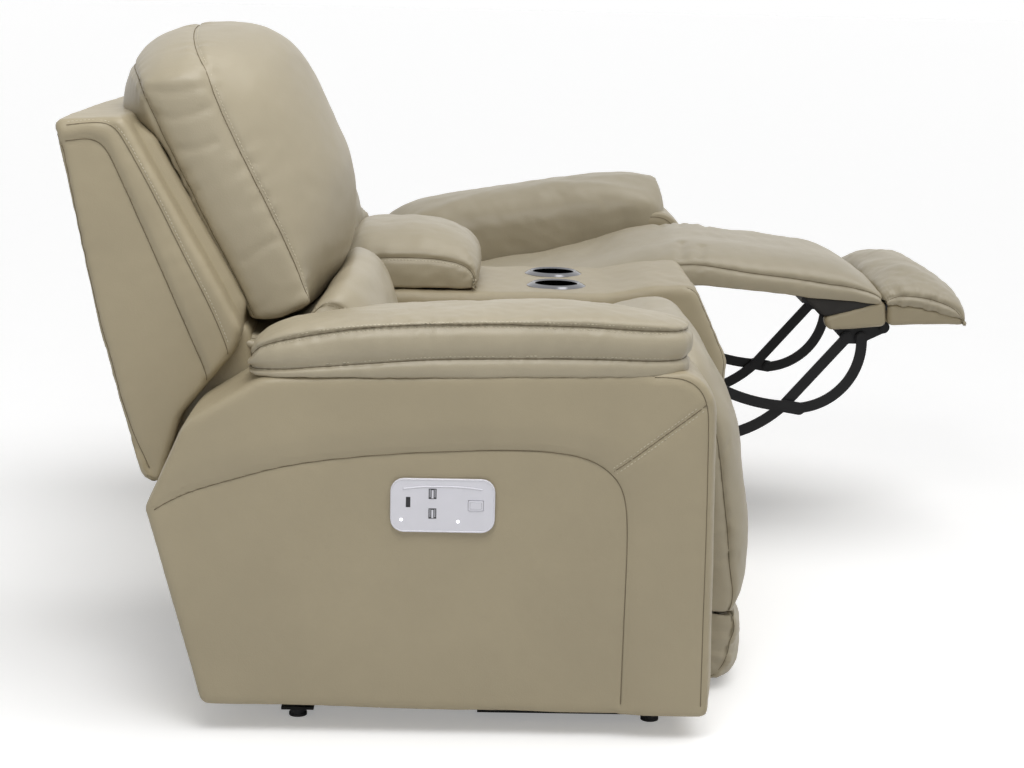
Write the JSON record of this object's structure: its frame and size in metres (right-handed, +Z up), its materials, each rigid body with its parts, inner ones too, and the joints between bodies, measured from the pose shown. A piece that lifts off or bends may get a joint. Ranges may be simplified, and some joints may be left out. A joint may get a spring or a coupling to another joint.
{
  "type": "power reclining loveseat",
  "caption": "Power reclining loveseat: gliding seat units with arms, leaning backs and fold-out footrests beside a fixed console with cup holders and a lidded bin.",
  "frame": {"origin": "on the floor, below the middle of the overall box as it rests with one seat reclined", "axes": "+X to the sitter's left, -Y to the front, +Z up"},
  "size_m": [1.92, 1.723, 1.048],
  "materials": {
    "leather": "soft semi-gloss",
    "dark_steel": "satin black",
    "plywood": "raw",
    "chrome": "polished",
    "white_plastic": "gloss",
    "black_plastic": "matte"
  },
  "bodies": {
    "base": {"base_frame": "dark_steel", "floor_feet": "black_plastic", "glide_rails": "dark_steel", "power_supply": "black_plastic", "console_frame": "plywood", "console_cover": "leather", "cup_holders": "chrome", "console_bin": "black_plastic", "lid_hinge": "dark_steel"},
    "console_lid": {"lid_leaf": "dark_steel", "lid_board": "plywood", "console_pad": "leather"},
    "right_carriage": {"right_carriage": "dark_steel"},
    "right_seat": {"right_side_plates": "dark_steel", "right_seat_frame": "plywood", "right_seat_springs": "dark_steel", "right_seat_cushion": "leather", "right_arm_frame": "plywood", "right_arm_cover": "leather", "right_arm_pad": "leather", "right_power_panel": "white_plastic", "right_drive_motor": "dark_steel"},
    "right_button": {"right_seat_button": "white_plastic"},
    "right_drive_nut": {"right_drive_nut": "black_plastic"},
    "right_back": {"right_back_frame": "plywood", "right_back_cover": "leather", "right_head_pillow": "leather", "right_lumbar_pad": "leather"},
    "right_legrest": {"right_leg_board": "black_plastic", "right_leg_pad": "leather"},
    "right_flip_panel": {"right_flip_board": "black_plastic", "right_flip_pad": "leather"},
    "right_link_a": {"right_link_a": "dark_steel"},
    "right_link_b": {"right_link_b": "dark_steel"},
    "right_link_c": {"right_link_c": "dark_steel"},
    "right_link_d": {"right_link_d": "dark_steel"},
    "left_carriage": {"left_carriage": "dark_steel"},
    "left_seat": {"left_side_plates": "dark_steel", "left_seat_frame": "plywood", "left_seat_springs": "dark_steel", "left_seat_cushion": "leather", "left_arm_frame": "plywood", "left_arm_cover": "leather", "left_arm_pad": "leather", "left_power_panel": "white_plastic", "left_drive_motor": "dark_steel"},
    "left_button": {"left_seat_button": "white_plastic"},
    "left_drive_nut": {"left_drive_nut": "black_plastic"},
    "left_back": {"left_back_frame": "plywood", "left_back_cover": "leather", "left_head_pillow": "leather", "left_lumbar_pad": "leather"},
    "left_legrest": {"left_leg_board": "black_plastic", "left_leg_pad": "leather"},
    "left_flip_panel": {"left_flip_board": "black_plastic", "left_flip_pad": "leather"},
    "left_link_a": {"left_link_a": "dark_steel"},
    "left_link_b": {"left_link_b": "dark_steel"},
    "left_link_c": {"left_link_c": "dark_steel"},
    "left_link_d": {"left_link_d": "dark_steel"}
  },
  "joints": [
    {"name": "lid_hinge", "type": "hinge", "parent": "base", "child": "console_lid", "pos_m": [0, 0.4133, 0.567], "axis": [-1, 0, 0], "range_deg": [0, 75]},
    {"name": "right_glide", "type": "slide", "parent": "base", "child": "right_carriage", "axis": [0, -1, 0], "range_m": [0, 0.161]},
    {"name": "right_tilt", "type": "hinge", "parent": "right_carriage", "child": "right_seat", "pos_m": [-0.46, 0.2373, 0.15], "axis": [-1, 0, 0], "range_deg": [0, 6.71]},
    {"name": "right_recline", "type": "hinge", "parent": "right_seat", "child": "right_back", "pos_m": [-0.46, 0.4773, 0.33], "axis": [-1, 0, 0], "range_deg": [0, 17.31]},
    {"name": "right_footrest", "type": "hinge", "parent": "right_seat", "child": "right_legrest", "pos_m": [-0.46, -0.206, 0.4864], "axis": [-1, 0, 0], "range_deg": [0, 79.2]},
    {"name": "right_flip", "type": "hinge", "parent": "right_legrest", "child": "right_flip_panel", "pos_m": [-0.46, -0.13319, 0.13483], "axis": [-1, 0, 0], "range_deg": [0, 68.81]},
    {"name": "right_link_a_pivot", "type": "hinge", "parent": "right_seat", "child": "right_link_a", "pos_m": [-0.46, -0.0701, 0.3894], "axis": [-1, 0, 0], "range_deg": [0, 77.29]},
    {"name": "right_link_b_pivot", "type": "hinge", "parent": "right_seat", "child": "right_link_b", "pos_m": [-0.46, 0.0341, 0.3554], "axis": [-1, 0, 0], "range_deg": [0, 76.97]},
    {"name": "right_link_c_pivot", "type": "hinge", "parent": "right_link_a", "child": "right_link_c", "pos_m": [-0.46, 0.05245, 0.10483], "axis": [-1, 0, 0], "range_deg": [-67.95, 0]},
    {"name": "right_link_d_pivot", "type": "hinge", "parent": "right_link_a", "child": "right_link_d", "pos_m": [-0.46, 0.05432, 0.07314], "axis": [-1, 0, 0], "range_deg": [-66.35, 0]},
    {"name": "right_drive_slide", "type": "slide", "parent": "right_seat", "child": "right_drive_nut", "axis": [0, -1, 0], "range_m": [0, 0.137]},
    {"name": "right_button_press", "type": "slide", "parent": "right_seat", "child": "right_button", "axis": [1, 0, 0], "range_m": [0, 0.0015], "stiffness_N_per_m": 400},
    {"name": "left_glide", "type": "slide", "parent": "base", "child": "left_carriage", "axis": [0, -1, 0], "range_m": [-0.161, 0]},
    {"name": "left_tilt", "type": "hinge", "parent": "left_carriage", "child": "left_seat", "pos_m": [0.46, 0.0763, 0.15], "axis": [-1, 0, 0], "range_deg": [-6.71, 0]},
    {"name": "left_recline", "type": "hinge", "parent": "left_seat", "child": "left_back", "pos_m": [0.46, 0.33566, 0.30077], "axis": [-1, 0, 0], "range_deg": [-17.31, 0]},
    {"name": "left_footrest", "type": "hinge", "parent": "left_seat", "child": "left_legrest", "pos_m": [0.46, -0.32472, 0.53582], "axis": [-1, 0, 0], "range_deg": [-79.2, 0]},
    {"name": "left_flip", "type": "hinge", "parent": "left_legrest", "child": "left_flip_panel", "pos_m": [0.46, -0.67019, 0.43806], "axis": [-1, 0, 0], "range_deg": [-68.81, 0]},
    {"name": "left_link_a_pivot", "type": "hinge", "parent": "left_seat", "child": "left_link_a", "pos_m": [0.46, -0.20107, 0.42363], "axis": [-1, 0, 0], "range_deg": [-77.29, 0]},
    {"name": "left_link_b_pivot", "type": "hinge", "parent": "left_seat", "child": "left_link_b", "pos_m": [0.46, -0.10155, 0.37771], "axis": [-1, 0, 0], "range_deg": [-76.97, 0]},
    {"name": "left_link_c_pivot", "type": "hinge", "parent": "left_link_a", "child": "left_link_c", "pos_m": [0.46, -0.47121, 0.27191], "axis": [-1, 0, 0], "range_deg": [0, 67.95]},
    {"name": "left_link_d_pivot", "type": "hinge", "parent": "left_link_a", "child": "left_link_d", "pos_m": [0.46, -0.50253, 0.26673], "axis": [-1, 0, 0], "range_deg": [0, 66.35]},
    {"name": "left_drive_slide", "type": "slide", "parent": "left_seat", "child": "left_drive_nut", "axis": [0, -0.9932, 0.1167], "range_m": [-0.137, 0]},
    {"name": "left_button_press", "type": "slide", "parent": "left_seat", "child": "left_button", "axis": [-1, 0, 0], "range_m": [0, 0.0015], "stiffness_N_per_m": 400}
  ],
  "couplings": [
    {"joint": "right_tilt", "follows": "right_glide", "rad_per_m": 0.72632},
    {"joint": "right_recline", "follows": "right_glide", "rad_per_m": 1.8754},
    {"joint": "right_flip", "follows": "right_footrest", "ratio": 0.86869},
    {"joint": "right_link_a_pivot", "follows": "right_footrest", "ratio": 0.97576},
    {"joint": "right_link_b_pivot", "follows": "right_footrest", "ratio": 0.97172},
    {"joint": "right_link_c_pivot", "follows": "right_footrest", "ratio": -0.85783},
    {"joint": "right_link_d_pivot", "follows": "right_footrest", "ratio": -0.83763},
    {"joint": "right_drive_slide", "follows": "right_footrest", "m_per_rad": 0.099033},
    {"joint": "left_tilt", "follows": "left_glide", "rad_per_m": 0.72632},
    {"joint": "left_recline", "follows": "left_glide", "rad_per_m": 1.8754},
    {"joint": "left_flip", "follows": "left_footrest", "ratio": 0.86869},
    {"joint": "left_link_a_pivot", "follows": "left_footrest", "ratio": 0.97576},
    {"joint": "left_link_b_pivot", "follows": "left_footrest", "ratio": 0.97172},
    {"joint": "left_link_c_pivot", "follows": "left_footrest", "ratio": -0.85783},
    {"joint": "left_link_d_pivot", "follows": "left_footrest", "ratio": -0.83763},
    {"joint": "left_drive_slide", "follows": "left_footrest", "m_per_rad": 0.099033}
  ]
}
